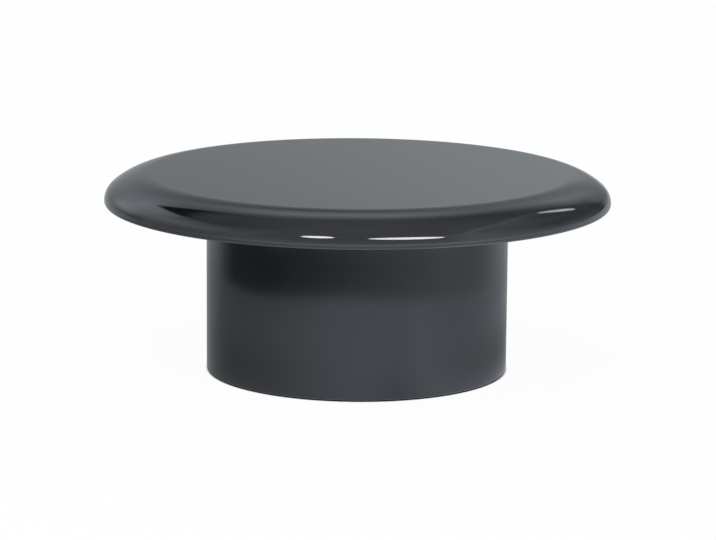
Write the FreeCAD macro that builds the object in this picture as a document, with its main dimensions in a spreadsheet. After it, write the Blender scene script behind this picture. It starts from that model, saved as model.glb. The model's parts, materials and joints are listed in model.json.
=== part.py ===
# Round cocktail table: a lens-edged lacquered top, built as a torsion box, on a bent-plywood drum
# that stands on a base ring with four levelling glides.
# Millimetres, +Z up, origin on the floor at the centre of the drum.
import FreeCAD
import Part
import Sketcher

import math
import os

Vector = FreeCAD.Vector
UP = Vector(0, 0, 1)

# Driving dimensions: lengths in millimetres, angles in degrees, counts as whole numbers.
SIZES = (
    # the table as a whole
    ("table_diameter", "1067"),
    ("table_height", "422"),
    # outer form of the top: flat face, shoulder arc, nose arc, then a small radius to the underside
    ("edge_width", "95"),
    ("edge_drop", "58"),
    ("shoulder_angle", "40"),
    ("lower_radius", "8"),
    # layers inside the top
    ("top_panel_thickness", "22"),
    ("under_panel_thickness", "18"),
    ("rim_width", "100"),
    ("rim_segment_count", "8"),
    ("spline_length", "56"),
    ("spline_width", "32"),
    ("spline_thickness", "6"),
    ("fixing_ring_width", "100"),
    ("core_rib_count", "8"),
    ("core_rib_thickness", "18"),
    # drum, set in from the rim by the overhang: a skin round a structural wall, a plate and two rings
    ("overhang", "215"),
    ("drum_skin_thickness", "6"),
    ("drum_wall_thickness", "12"),
    ("drum_edge_radius", "2"),
    ("shadow_gap", "3"),
    ("top_plate_thickness", "22"),
    ("mid_ring_thickness", "18"),
    ("bottom_ring_thickness", "22"),
    ("ring_width", "70"),
    # posts between the base ring and the top plate
    ("post_count", "4"),
    ("post_start_angle", "45"),
    ("post_width", "60"),
    ("post_depth", "40"),
    ("screw_length", "60"),
    ("screw_diameter", "5"),
    ("screw_head_diameter", "10"),
    ("screw_recess", "1"),
    # bolts that hold the top down, their inserts, and the dowels that centre it
    ("bolt_count", "6"),
    ("bolt_inset", "18"),
    ("bolt_diameter", "8"),
    ("bolt_length", "35"),
    ("bolt_hole_diameter", "9"),
    ("bolt_head_width", "13"),
    ("bolt_head_height", "5.3"),
    ("washer_diameter", "17"),
    ("washer_thickness", "1.6"),
    ("insert_diameter", "12"),
    ("insert_length", "16"),
    ("dowel_count", "2"),
    ("dowel_inset", "60"),
    ("dowel_diameter", "12"),
    ("dowel_length", "28"),
    # levelling glides: a threaded stem with a hexagon collar turns in a captive nylon pad
    ("leveller_count", "4"),
    ("pad_diameter", "32"),
    ("pad_thickness", "5"),
    ("pad_bevel", "1"),
    ("pad_floor", "1.6"),
    ("pad_lip", "1.5"),
    ("pad_clear_of_floor", "0.3"),
    ("pocket_diameter", "38"),
    ("stem_diameter", "10"),
    ("stem_above_ring", "30"),
    ("stem_chamfer", "1"),
    ("stem_foot_diameter", "16"),
    ("collar_width", "15"),
    ("collar_height", "3.5"),
    ("collar_stop_gap", "0.3"),
    ("tee_nut_flange_diameter", "26"),
    ("tee_nut_flange_thickness", "1.5"),
    ("tee_nut_barrel_diameter", "13"),
    ("tee_nut_barrel_length", "9"),
    # clearances
    ("glue_line", "0.1"),
    ("fit_clearance", "0.1"),
    ("running_clearance", "0.08"),
    ("overrun", "5"),
)

doc = FreeCAD.newDocument("cocktail_table")
sheet = doc.addObject("Spreadsheet::Sheet", "Sizes")
for row, (alias, text) in enumerate(SIZES, start=1):
    sheet.set(f"A{row}", alias)
    sheet.set(f"B{row}", text)
    sheet.setAlias(f"B{row}", alias)
doc.recompute()

# Heights above the floor
TOP_THICKNESS = "(Sizes.edge_drop + Sizes.lower_radius)"
UNDERSIDE = f"(Sizes.table_height - {TOP_THICKNESS})"
CORE_BASE = f"({UNDERSIDE} + Sizes.under_panel_thickness)"
CORE_THICKNESS = f"({TOP_THICKNESS} - Sizes.under_panel_thickness - Sizes.top_panel_thickness)"
PLATE_BASE = f"({UNDERSIDE} - Sizes.top_plate_thickness)"
POST_LENGTH = f"({PLATE_BASE} - Sizes.bottom_ring_thickness)"
MID_RING_BASE = f"(Sizes.bottom_ring_thickness + ({POST_LENGTH} - Sizes.mid_ring_thickness) / 2)"

# Radii and circles
RIM_RADIUS = "(Sizes.table_diameter / 2)"
RIM_INNER = f"({RIM_RADIUS} - Sizes.rim_width)"
DRUM_RADIUS = f"({RIM_RADIUS} - Sizes.overhang)"
FIXING_INNER = f"({DRUM_RADIUS} - Sizes.fixing_ring_width)"
WALL_RADIUS = f"({DRUM_RADIUS} - Sizes.drum_skin_thickness - Sizes.glue_line)"
DRUM_BORE = f"({WALL_RADIUS} - Sizes.drum_wall_thickness)"
RING_OUTER = f"({DRUM_BORE} - Sizes.glue_line)"
RING_INNER = f"({RING_OUTER} - Sizes.ring_width)"
# a post's flat face meets the round wall along the post's two outer corners
POST_OUTER = f"(sqrt({DRUM_BORE} ^ 2 - (Sizes.post_width / 2) ^ 2) - Sizes.glue_line)"
POST_INNER = f"({POST_OUTER} - Sizes.post_depth)"
POST_AXIS = f"({POST_OUTER} - Sizes.post_depth / 2)"
BOLT_CIRCLE = f"({POST_INNER} - Sizes.bolt_inset)"
DOWEL_CIRCLE = f"({BOLT_CIRCLE} - Sizes.dowel_inset)"
LEVELLER_CIRCLE = f"(({RING_OUTER} + {RING_INNER}) / 2)"

# Stack of a levelling glide, from the floor up to the ceiling of its pocket
STEM_FOOT = "(Sizes.pad_floor + Sizes.fit_clearance)"
STEM_FOOT_THICKNESS = "(Sizes.pad_thickness - Sizes.pad_floor - Sizes.pad_lip - 2 * Sizes.fit_clearance)"
COLLAR_BASE = "(Sizes.pad_clear_of_floor + Sizes.pad_thickness + Sizes.fit_clearance)"
TEE_NUT_BASE = f"({COLLAR_BASE} + Sizes.collar_height + Sizes.collar_stop_gap)"
POCKET_DEPTH = f"({TEE_NUT_BASE} + Sizes.tee_nut_flange_thickness)"

nodes = []


def number(alias):
    """The value of a driving dimension, for a first guess that the constraints then settle."""
    return float(sheet.get(alias))


def turns(alias, start=0):
    """Angles of a whole number of places spread evenly round the axis."""
    places = int(sheet.get(alias))
    return [start + 360 * place / places for place in range(places)]


def keep(thing):
    """Marks a finished sub-part, which is written to a file under its label."""
    nodes.append(thing)
    return thing


def place(thing, height, out=None, angle=0):
    """Sets a thing at a height, turned about the table's axis and moved out along that angle."""
    thing.Placement = FreeCAD.Placement(Vector(), FreeCAD.Rotation(UP, angle))
    thing.setExpression("Placement.Base.z", height)
    if out:
        thing.setExpression("Placement.Base.x", f"{out} * cos({angle} deg)")
        thing.setExpression("Placement.Base.y", f"{out} * sin({angle} deg)")
    return thing


# Part primitives and booleans

def new_primitive(kind, label, sizes):
    thing = doc.addObject(kind, label)
    for name, expression in sizes.items():
        thing.setExpression(name, expression)
    return thing


def new_cylinder(label, radius, length):
    return new_primitive("Part::Cylinder", label, {"Radius": radius, "Height": length})


def new_hexagon(label, width, length):
    sizes = {"Circumradius": f"{width} / sqrt(3)", "Height": length}
    return new_primitive("Part::Prism", label, sizes)


def new_cone(label, low_radius, high_radius, length):
    sizes = {"Radius1": low_radius, "Radius2": high_radius, "Height": length}
    return new_primitive("Part::Cone", label, sizes)


def combine(kind, label, base, tool):
    thing = doc.addObject(kind, label)
    thing.Base = base
    thing.Tool = tool
    return thing


def fuse(label, parts):
    thing = doc.addObject("Part::MultiFuse", label)
    thing.Shapes = parts
    return thing


def group(label, parts):
    thing = doc.addObject("Part::Compound", label)
    thing.Links = parts
    return thing


# Bodies, sketches and features

def new_body(label, height, out=None, angle=0):
    return place(doc.addObject("PartDesign::Body", label), height, out, angle)


def new_sketch(body, role, level=None):
    """A sketch on one of the body's own origin planes, lifted to a level if one is given."""
    sketch = body.newObject("Sketcher::SketchObject", body.Name + "_sketch")
    plane = next(part for part in body.Origin.OriginFeatures if part.Role == role)
    sketch.AttachmentSupport = (plane, [""])
    sketch.MapMode = "FlatFace"
    if level:
        sketch.setExpression("AttachmentOffset.Base.z", level)
    return sketch


def bind(sketch, name, constraint, expression):
    """Adds a named dimension to a sketch and ties it to the driving dimensions."""
    sketch.renameConstraint(sketch.addConstraint(constraint), name)
    sketch.setExpression("Constraints." + name, expression)


def add_circle(sketch, name, radius, across=None, along=None):
    """A circle about the origin, or about a point across and along from it."""
    circle = sketch.addGeometry(Part.Circle(Vector(1, 0, 0) if across else Vector(), UP, 1))
    if across is None:
        sketch.addConstraint(Sketcher.Constraint("Coincident", circle, 3, -1, 1))
    else:
        bind(sketch, name + "_across", Sketcher.Constraint("DistanceX", -1, 1, circle, 3, 1), across)
        if along is None:
            sketch.addConstraint(Sketcher.Constraint("PointOnObject", circle, 3, -1))
        else:
            bind(sketch, name + "_along", Sketcher.Constraint("DistanceY", -1, 1, circle, 3, 1), along)
    bind(sketch, name + "_radius", Sketcher.Constraint("Radius", circle, 1), radius)


def add_rectangle(sketch, length, width, near=None):
    """A rectangle along X, centred on the origin or starting at a near distance from it."""
    corners = [Vector(1, -1, 0), Vector(3, -1, 0), Vector(3, 1, 0), Vector(1, 1, 0)]
    sides = [sketch.addGeometry(Part.LineSegment(corners[i - 1], corners[i])) for i in range(4)]
    for i in range(4):
        sketch.addConstraint(Sketcher.Constraint("Coincident", sides[i - 1], 2, sides[i], 1))
    left, lower, right, upper = sides
    for words in (("Horizontal", lower), ("Vertical", right), ("Horizontal", upper)):
        sketch.addConstraint(Sketcher.Constraint(*words))
    bind(sketch, "length", Sketcher.Constraint("DistanceX", lower, 1, lower, 2, 2), length)
    bind(sketch, "width", Sketcher.Constraint("DistanceY", right, 1, right, 2, 2), width)
    if near is None:
        sketch.addConstraint(Sketcher.Constraint("Vertical", left))
        sketch.addConstraint(Sketcher.Constraint("Symmetric", lower, 1, upper, 1, -1, 1))
    else:
        sketch.addConstraint(Sketcher.Constraint("Symmetric", left, 1, left, 2, -1))
        bind(sketch, "near", Sketcher.Constraint("DistanceX", -1, 1, left, 1, 1), near)


def add_outline(sketch, corners):
    """A closed outline through corners, each bound to its distances from the sketch's two axes."""
    total = len(corners)
    points = [Vector(1 + i, 1 + i % 2, 0) for i in range(total)]
    lines = [sketch.addGeometry(Part.LineSegment(points[i], points[(i + 1) % total])) for i in range(total)]
    for i, (across, along) in enumerate(corners):
        sketch.addConstraint(Sketcher.Constraint("Coincident", lines[i - 1], 2, lines[i], 1))
        for kind, axis, expression in (("DistanceX", -2, across), ("DistanceY", -1, along)):
            if expression is None:
                sketch.addConstraint(Sketcher.Constraint("PointOnObject", lines[i], 1, axis))
            else:
                bind(sketch, f"corner_{i}_{kind}", Sketcher.Constraint(kind, -1, 1, lines[i], 1, 1), expression)


def pad(body, sketch, length):
    feature = body.newObject("PartDesign::Pad", body.Name + "_pad")
    feature.Profile = sketch
    feature.setExpression("Length", length)
    return feature


def pocket(body, sketch, depth=None, upwards=True):
    """A cut from a sketch to a depth, or through everything above it."""
    feature = body.newObject("PartDesign::Pocket", body.Name + "_pocket")
    feature.Profile = sketch
    feature.Reversed = upwards
    if depth:
        feature.setExpression("Length", depth)
    else:
        feature.Type = "ThroughAll"
    return feature


def countersunk_hole(body, sketch, upwards):
    doc.recompute()
    feature = body.newObject("PartDesign::Hole", body.Name + "_screw_hole")
    feature.Profile = sketch
    doc.recompute()
    feature.Reversed = upwards
    feature.DepthType = "ThroughAll"
    feature.HoleCutType = "Countersink"
    feature.HoleCutCountersinkAngle = 90
    feature.setExpression("Diameter", "Sizes.screw_diameter + 2 * Sizes.fit_clearance")
    feature.setExpression("HoleCutDiameter", SCREW_MOUTH)
    return feature


def revolve(body, sketch):
    feature = body.newObject("PartDesign::Revolution", body.Name + "_turned")
    feature.Profile = sketch
    feature.ReferenceAxis = (sketch, ["V_Axis"])
    feature.Angle = 360
    return feature


def repeat_round(body, features, sketch, places):
    """Repeats features round the table's axis, as many times as the named count says."""
    pattern = body.newObject("PartDesign::PolarPattern", body.Name + "_pattern")
    pattern.Originals = features
    pattern.Axis = (sketch, ["N_Axis"])
    pattern.Angle = 360
    pattern.setExpression("Occurrences", "Sizes." + places)
    body.Tip = pattern


def add_disc(label, height, radius, thickness):
    body = new_body(label, height)
    sketch = new_sketch(body, "XY_Plane")
    add_circle(sketch, "rim", radius)
    pad(body, sketch, thickness)
    return keep(body)


def add_ring(label, height, outer, inner, thickness, angle=0):
    body = new_body(label, height, angle=angle)
    sketch = new_sketch(body, "XY_Plane")
    add_circle(sketch, "outer", outer)
    add_circle(sketch, "inner", inner)
    pad(body, sketch, thickness)
    return keep(body)


def add_tubes(label, height, circle, outer, inner, length, places):
    """A group of short tubes on a circle, such as washers."""
    body = new_body(label, height)
    sketch = new_sketch(body, "XY_Plane")
    add_circle(sketch, "outer", outer, circle)
    add_circle(sketch, "inner", inner, circle)
    repeat_round(body, [pad(body, sketch, length)], sketch, places)
    return keep(body)


def drill_round(body, radius, circle, places, depth=None, level=None):
    """Round holes on a circle: upwards from the base, or down from a level."""
    sketch = new_sketch(body, "XY_Plane", level)
    add_circle(sketch, "hole", radius, circle)
    repeat_round(body, [pocket(body, sketch, depth, upwards=level is None)], sketch, places)


# Wood screws: the countersunk head lies a little below the face, so its hole opens wider than the head
SCREW_RADIUS = "(Sizes.screw_diameter / 2)"
SCREW_HEAD_RADIUS = "(Sizes.screw_head_diameter / 2)"
SCREW_HEAD_HEIGHT = f"({SCREW_HEAD_RADIUS} - {SCREW_RADIUS})"
SCREW_MOUTH = "(Sizes.screw_head_diameter + 2 * (Sizes.fit_clearance + Sizes.screw_recess))"


def drill_screw_holes(body, upwards, level=None):
    """Countersunk holes in line with the posts."""
    sketch = new_sketch(body, "XY_Plane", level)
    across = f"{POST_AXIS} * cos(Sizes.post_start_angle * 1 deg)"
    along = f"{POST_AXIS} * sin(Sizes.post_start_angle * 1 deg)"
    add_circle(sketch, "screw", SCREW_RADIUS, across, along)
    repeat_round(body, [countersunk_hole(body, sketch, upwards)], sketch, "post_count")


# Top

def add_top_profile(sketch):
    """Half section of the top: tangent arcs from the flat face over the nose to the underside."""
    reach = number("table_diameter") / 2
    edge = number("edge_width")
    drop = number("edge_drop")
    low = number("lower_radius")
    turn = math.radians(number("shoulder_angle"))
    rise, run = math.sin(turn), math.cos(turn)
    shoulder = (run * edge - (1 - rise) * drop) / (rise + run - 1)
    nose = (rise * drop - (1 - run) * edge) / (rise + run - 1)
    quarter = math.pi / 2
    high, flat = drop + low, reach - edge

    def arc(x, y, radius, start, end):
        return Part.ArcOfCircle(Part.Circle(Vector(x, y, 0), UP, radius), start, end)

    sketch.addGeometry([
        Part.LineSegment(Vector(0, 0, 0), Vector(0, high, 0)),
        Part.LineSegment(Vector(0, high, 0), Vector(flat, high, 0)),
        arc(flat, high - shoulder, shoulder, quarter - turn, quarter),
        arc(reach - nose, low, nose, 0, quarter - turn),
        arc(reach - low, low, low, -quarter, 0),
        Part.LineSegment(Vector(reach - low, 0, 0), Vector(0, 0, 0)),
    ])
    axis, face, shoulder_arc, nose_arc, lower_arc, underside = range(6)
    for words in (
        ("Coincident", axis, 1, -1, 1),
        ("Vertical", axis),
        ("Coincident", axis, 2, face, 1),
        ("Horizontal", face),
        ("Tangent", face, 2, shoulder_arc, 2),
        ("Tangent", shoulder_arc, 1, nose_arc, 2),
        ("Tangent", nose_arc, 1, lower_arc, 2),
        ("Horizontal", nose_arc, 3, nose_arc, 1),
        ("Tangent", lower_arc, 1, underside, 1),
        ("Horizontal", underside),
        ("Coincident", underside, 2, axis, 1),
    ):
        sketch.addConstraint(Sketcher.Constraint(*words))
    bind(sketch, "thickness", Sketcher.Constraint("DistanceY", axis, 1, axis, 2, high), TOP_THICKNESS)
    bind(sketch, "flat_radius", Sketcher.Constraint("DistanceX", face, 1, face, 2, flat),
         f"{RIM_RADIUS} - Sizes.edge_width")
    bind(sketch, "shoulder_turn", Sketcher.Constraint("Angle", shoulder_arc, turn),
         "Sizes.shoulder_angle * 1 deg")
    bind(sketch, "lower_radius", Sketcher.Constraint("Radius", lower_arc, low), "Sizes.lower_radius")
    bind(sketch, "reach", Sketcher.Constraint("DistanceX", -1, 1, nose_arc, 1, reach), RIM_RADIUS)


def build_top_form():
    """The whole top as one turned form, from which each layer takes its slice."""
    body = new_body("top_form", UNDERSIDE)
    sketch = new_sketch(body, "XZ_Plane")
    add_top_profile(sketch)
    revolve(body, sketch)
    return body


def build_panels(form):
    radius = f"{RIM_RADIUS} + Sizes.overrun"
    upper = new_cylinder("top_panel_slab", radius, "Sizes.top_panel_thickness + Sizes.overrun")
    place(upper, f"{CORE_BASE} + {CORE_THICKNESS}")
    keep(combine("Part::Common", "top_panel", form, upper))

    lower = new_cylinder("under_panel_slab", radius, "Sizes.under_panel_thickness + Sizes.overrun")
    place(lower, f"{UNDERSIDE} - Sizes.overrun")
    blank = combine("Part::Common", "under_panel_blank", form, lower)
    bores = []
    for angle in turns("bolt_count"):
        bore = new_cylinder("insert_bore", "Sizes.insert_diameter / 2 + Sizes.fit_clearance",
                            "Sizes.under_panel_thickness + 2 * Sizes.overrun")
        bores.append(place(bore, f"{UNDERSIDE} - Sizes.overrun", BOLT_CIRCLE, angle))
    for angle in turns("dowel_count"):
        bore = new_cylinder("dowel_bore", "Sizes.dowel_diameter / 2 + Sizes.fit_clearance",
                            "Sizes.overrun + Sizes.dowel_length / 2 + Sizes.fit_clearance")
        bores.append(place(bore, f"{UNDERSIDE} - Sizes.overrun", DOWEL_CIRCLE, angle))
    keep(combine("Part::Cut", "under_panel", blank, group("under_panel_bores", bores)))


def build_rim(form):
    """Rim segments butt end to end, each pair tied by a loose spline let into both ends."""
    spline_middle = f"({RIM_RADIUS} - Sizes.rim_width / 2)"
    spline_base = f"{CORE_BASE} + ({CORE_THICKNESS} - Sizes.spline_thickness) / 2"

    def spline(label, gap):
        """Splines, or the slots for them, with a gap all round."""
        body = new_body(label, f"{spline_base} - {gap}")
        sketch = new_sketch(body, "XY_Plane")
        add_rectangle(sketch, f"Sizes.spline_length + 2 * {gap}", f"Sizes.spline_width + 2 * {gap}",
                      f"{spline_middle} - Sizes.spline_length / 2 - {gap}")
        feature = pad(body, sketch, f"Sizes.spline_thickness + 2 * {gap}")
        repeat_round(body, [feature], sketch, "rim_segment_count")
        return body

    slots = spline("rim_slots", "Sizes.glue_line")
    core = place(new_cylinder("rim_core", RIM_INNER, TOP_THICKNESS), UNDERSIDE)
    for index, angle in enumerate(turns("rim_segment_count"), start=1):
        sector = new_cylinder("rim_sector", f"{RIM_RADIUS} + Sizes.overrun", CORE_THICKNESS)
        sector.setExpression("Angle", "360 deg / Sizes.rim_segment_count")
        place(sector, CORE_BASE, angle=angle)
        slice_of_form = combine("Part::Common", "rim_slice", form, sector)
        arch = combine("Part::Cut", "rim_arch", slice_of_form, core)
        keep(combine("Part::Cut", f"rim_segment_{index}", arch, slots))
    keep(spline("rim_splines", "0"))


def build_core():
    """Inside the top: a ring over the drum wall, spokes out to the rim and a halved cross within."""
    add_ring("fixing_ring", CORE_BASE, DRUM_RADIUS, FIXING_INNER, CORE_THICKNESS)
    half = "Sizes.core_rib_thickness / 2"
    near = f"({DRUM_RADIUS} + Sizes.glue_line)"
    far = f"(sqrt({RIM_INNER} ^ 2 - ({half}) ^ 2) - Sizes.glue_line)"
    first = 180 / number("core_rib_count")
    for index, angle in enumerate(turns("core_rib_count", first), start=1):
        body = keep(new_body(f"core_rib_{index}", CORE_BASE, angle=angle))
        sketch = new_sketch(body, "XY_Plane")
        add_rectangle(sketch, f"{far} - {near}", "Sizes.core_rib_thickness", near)
        pad(body, sketch, CORE_THICKNESS)

    span = f"2 * (sqrt({FIXING_INNER} ^ 2 - ({half}) ^ 2) - Sizes.glue_line)"
    lap = f"{CORE_THICKNESS} / 2 + Sizes.glue_line"
    for label, angle, level in (("cross_rib_lower", 0, CORE_THICKNESS), ("cross_rib_upper", 90, None)):
        body = keep(new_body(label, CORE_BASE, angle=angle))
        sketch = new_sketch(body, "XY_Plane")
        add_rectangle(sketch, span, "Sizes.core_rib_thickness")
        pad(body, sketch, CORE_THICKNESS)
        notch = new_sketch(body, "XY_Plane", level)
        add_rectangle(notch, "Sizes.core_rib_thickness + 2 * Sizes.glue_line",
                      "Sizes.core_rib_thickness + 2 * Sizes.overrun")
        pocket(body, notch, lap, upwards=level is None)


# Drum

def lowest_outer_edge(feature):
    """Name of the widest circle round the bottom of a turned feature."""
    def rank(index):
        edge = feature.Shape.Edges[index]
        return (round(edge.BoundBox.ZMax, 6), -edge.BoundBox.XLength)
    return f"Edge{min(range(len(feature.Shape.Edges)), key=rank) + 1}"


def build_drum_shell():
    skin = add_ring("drum_skin", "Sizes.shadow_gap", DRUM_RADIUS,
                    f"{DRUM_RADIUS} - Sizes.drum_skin_thickness", f"{UNDERSIDE} - Sizes.shadow_gap")
    doc.recompute()
    tube = skin.Tip
    eased = skin.newObject("PartDesign::Fillet", "drum_skin_eased_edge")
    eased.Base = (tube, [lowest_outer_edge(tube)])
    eased.setExpression("Radius", "Sizes.drum_edge_radius")
    add_ring("drum_wall", "Sizes.shadow_gap", WALL_RADIUS, DRUM_BORE, f"{UNDERSIDE} - Sizes.shadow_gap")


def build_drum_frame():
    plate = add_disc("drum_top_plate", PLATE_BASE, RING_OUTER, "Sizes.top_plate_thickness")
    drill_round(plate, "Sizes.bolt_hole_diameter / 2", BOLT_CIRCLE, "bolt_count")
    drill_round(plate, "Sizes.dowel_diameter / 2 + Sizes.fit_clearance", DOWEL_CIRCLE, "dowel_count",
                "Sizes.dowel_length / 2 + Sizes.fit_clearance", "Sizes.top_plate_thickness")
    drill_screw_holes(plate, upwards=False, level="Sizes.top_plate_thickness")

    mid = add_ring("drum_mid_ring", MID_RING_BASE, RING_OUTER, RING_INNER, "Sizes.mid_ring_thickness",
                   number("post_start_angle"))
    notch = new_sketch(mid, "XY_Plane")
    add_rectangle(notch, f"{RING_OUTER} - {POST_INNER} + Sizes.overrun",
                  "Sizes.post_width + 2 * Sizes.fit_clearance", f"{POST_INNER} - Sizes.fit_clearance")
    repeat_round(mid, [pocket(mid, notch)], notch, "post_count")

    base = add_ring("drum_bottom_ring", "0", RING_OUTER, RING_INNER, "Sizes.bottom_ring_thickness")
    drill_screw_holes(base, upwards=True)
    drill_round(base, "Sizes.tee_nut_barrel_diameter / 2 + Sizes.glue_line", LEVELLER_CIRCLE,
                "leveller_count")
    drill_round(base, "Sizes.pocket_diameter / 2", LEVELLER_CIRCLE, "leveller_count", POCKET_DEPTH)
    # each pocket opens inwards, so that a spanner reaches the collar from inside the drum
    reach = new_sketch(base, "XY_Plane")
    add_rectangle(reach, f"{LEVELLER_CIRCLE} - {RING_INNER} + Sizes.overrun", "Sizes.pocket_diameter",
                  f"{RING_INNER} - Sizes.overrun")
    repeat_round(base, [pocket(base, reach, POCKET_DEPTH)], reach, "leveller_count")


def build_posts():
    grip = "Sizes.screw_length + Sizes.screw_recess + Sizes.fit_clearance"
    for index, angle in enumerate(turns("post_count", number("post_start_angle")), start=1):
        body = keep(new_body(f"post_{index}", "Sizes.bottom_ring_thickness", angle=angle))
        sketch = new_sketch(body, "XY_Plane")
        add_rectangle(sketch, "Sizes.post_depth", "Sizes.post_width", POST_INNER)
        pad(body, sketch, POST_LENGTH)
        for level, thickness in ((None, "bottom_ring_thickness"), (POST_LENGTH, "top_plate_thickness")):
            pilot = new_sketch(body, "XY_Plane", level)
            add_circle(pilot, "pilot", f"{SCREW_RADIUS} + Sizes.fit_clearance", POST_AXIS)
            pocket(body, pilot, f"{grip} - Sizes.{thickness}", upwards=level is None)


def build_screws():
    """Countersunk screws into both ends of each post; the head's cone widens towards its face."""
    shank = f"Sizes.screw_length - {SCREW_HEAD_HEIGHT}"
    upper, lower = [], []
    for angle in turns("post_count", number("post_start_angle")):
        head = new_cone("lower_screw_head", SCREW_HEAD_RADIUS, SCREW_RADIUS, SCREW_HEAD_HEIGHT)
        stalk = new_cylinder("lower_screw_shank", SCREW_RADIUS, shank)
        place(head, "Sizes.screw_recess", POST_AXIS, angle)
        place(stalk, f"Sizes.screw_recess + {SCREW_HEAD_HEIGHT}", POST_AXIS, angle)
        lower.append(fuse("lower_screw", [head, stalk]))

        head = new_cone("upper_screw_head", SCREW_RADIUS, SCREW_HEAD_RADIUS, SCREW_HEAD_HEIGHT)
        stalk = new_cylinder("upper_screw_shank", SCREW_RADIUS, shank)
        place(head, f"{UNDERSIDE} - Sizes.screw_recess - {SCREW_HEAD_HEIGHT}", POST_AXIS, angle)
        place(stalk, f"{UNDERSIDE} - Sizes.screw_recess - Sizes.screw_length", POST_AXIS, angle)
        upper.append(fuse("upper_screw", [head, stalk]))
    keep(group("upper_screws", upper))
    keep(group("lower_screws", lower))


# Fixings between top and drum

def build_fixings():
    bolt_radius = "Sizes.bolt_diameter / 2"
    washer_base = f"({PLATE_BASE} - Sizes.washer_thickness)"
    bolts = []
    for angle in turns("bolt_count"):
        head = new_hexagon("bolt_head", "Sizes.bolt_head_width", "Sizes.bolt_head_height")
        shank = new_cylinder("bolt_shank", bolt_radius, "Sizes.bolt_length")
        place(head, f"{washer_base} - Sizes.bolt_head_height", BOLT_CIRCLE, angle)
        place(shank, washer_base, BOLT_CIRCLE, angle)
        bolts.append(fuse("top_bolt", [head, shank]))
    keep(group("top_bolts", bolts))
    bore = f"{bolt_radius} + Sizes.fit_clearance"
    add_tubes("bolt_washers", washer_base, BOLT_CIRCLE, "Sizes.washer_diameter / 2", bore,
              "Sizes.washer_thickness", "bolt_count")
    add_tubes("threaded_inserts", UNDERSIDE, BOLT_CIRCLE, "Sizes.insert_diameter / 2", bore,
              "Sizes.insert_length", "bolt_count")

    dowels = keep(new_body("locating_dowels", f"{UNDERSIDE} - Sizes.dowel_length / 2"))
    sketch = new_sketch(dowels, "XY_Plane")
    add_circle(sketch, "dowel", "Sizes.dowel_diameter / 2", DOWEL_CIRCLE)
    repeat_round(dowels, [pad(dowels, sketch, "Sizes.dowel_length")], sketch, "dowel_count")


# Levelling glides

STEM_RADIUS = "(Sizes.stem_diameter / 2)"
THREAD_BORE = f"({STEM_RADIUS} + Sizes.running_clearance)"


def build_tee_nuts():
    body = keep(new_body("tee_nuts", TEE_NUT_BASE))
    flange = new_sketch(body, "XY_Plane")
    add_circle(flange, "outer", "Sizes.tee_nut_flange_diameter / 2", LEVELLER_CIRCLE)
    add_circle(flange, "bore", THREAD_BORE, LEVELLER_CIRCLE)
    plate = pad(body, flange, "Sizes.tee_nut_flange_thickness")
    barrel = new_sketch(body, "XY_Plane", "Sizes.tee_nut_flange_thickness")
    add_circle(barrel, "outer", "Sizes.tee_nut_barrel_diameter / 2", LEVELLER_CIRCLE)
    add_circle(barrel, "bore", THREAD_BORE, LEVELLER_CIRCLE)
    tube = pad(body, barrel, "Sizes.tee_nut_barrel_length")
    repeat_round(body, [plate, tube], flange, "leveller_count")


def build_pad(label, angle):
    """A nylon pad, bevelled above and below, with a cavity that keeps the foot of the stem."""
    body = keep(new_body(label, "Sizes.pad_clear_of_floor", LEVELLER_CIRCLE, angle))
    sketch = new_sketch(body, "XZ_Plane")
    outer = "Sizes.pad_diameter / 2"
    bevelled = f"{outer} - Sizes.pad_bevel"
    cavity = "Sizes.stem_foot_diameter / 2 + Sizes.fit_clearance"
    lip = "Sizes.pad_thickness - Sizes.pad_lip"
    add_outline(sketch, [
        (None, None),
        (bevelled, None),
        (outer, "Sizes.pad_bevel"),
        (outer, "Sizes.pad_thickness - Sizes.pad_bevel"),
        (bevelled, "Sizes.pad_thickness"),
        (THREAD_BORE, "Sizes.pad_thickness"),
        (THREAD_BORE, lip),
        (cavity, lip),
        (cavity, "Sizes.pad_floor"),
        (None, "Sizes.pad_floor"),
    ])
    revolve(body, sketch)


def build_stem(label, angle):
    """A threaded stem: a flat foot kept by the pad, a hexagon collar above it and a chamfered tip."""
    foot_height = f"Sizes.pad_clear_of_floor + {STEM_FOOT}"
    tip_height = "(Sizes.bottom_ring_thickness + Sizes.stem_above_ring - Sizes.stem_chamfer)"
    foot = new_cylinder(label + "_foot", "Sizes.stem_foot_diameter / 2", STEM_FOOT_THICKNESS)
    shank = new_cylinder(label + "_shank", STEM_RADIUS, f"{tip_height} - ({foot_height})")
    collar = new_hexagon(label + "_collar", "Sizes.collar_width", "Sizes.collar_height")
    tip = new_cone(label + "_tip", STEM_RADIUS, f"{STEM_RADIUS} - Sizes.stem_chamfer", "Sizes.stem_chamfer")
    for part, height in ((foot, foot_height), (shank, foot_height), (collar, COLLAR_BASE), (tip, tip_height)):
        place(part, height, LEVELLER_CIRCLE, angle)
    keep(fuse(label, [foot, shank, collar, tip]))


def build_levellers():
    build_tee_nuts()
    for index, angle in enumerate(turns("leveller_count"), start=1):
        build_pad(f"leveller_pad_{index}", angle)
        build_stem(f"leveller_stem_{index}", angle)


def check_document():
    """Stops on a failed feature, a cut that takes nothing away, or a sub-part with no sound solid."""
    for thing in doc.Objects:
        if "Invalid" in thing.State or "Error" in thing.State:
            raise RuntimeError(f"{thing.Label} failed: {thing.State}")
        if thing.TypeId in ("PartDesign::Pocket", "PartDesign::Hole"):
            if thing.Shape.Volume >= thing.BaseFeature.Shape.Volume:
                raise RuntimeError(f"{thing.Label} cuts nothing")
    for thing in nodes:
        shape = thing.Shape
        if shape.isNull() or not shape.isValid() or not shape.Solids:
            raise RuntimeError(f"{thing.Label} has no sound solid")


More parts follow.
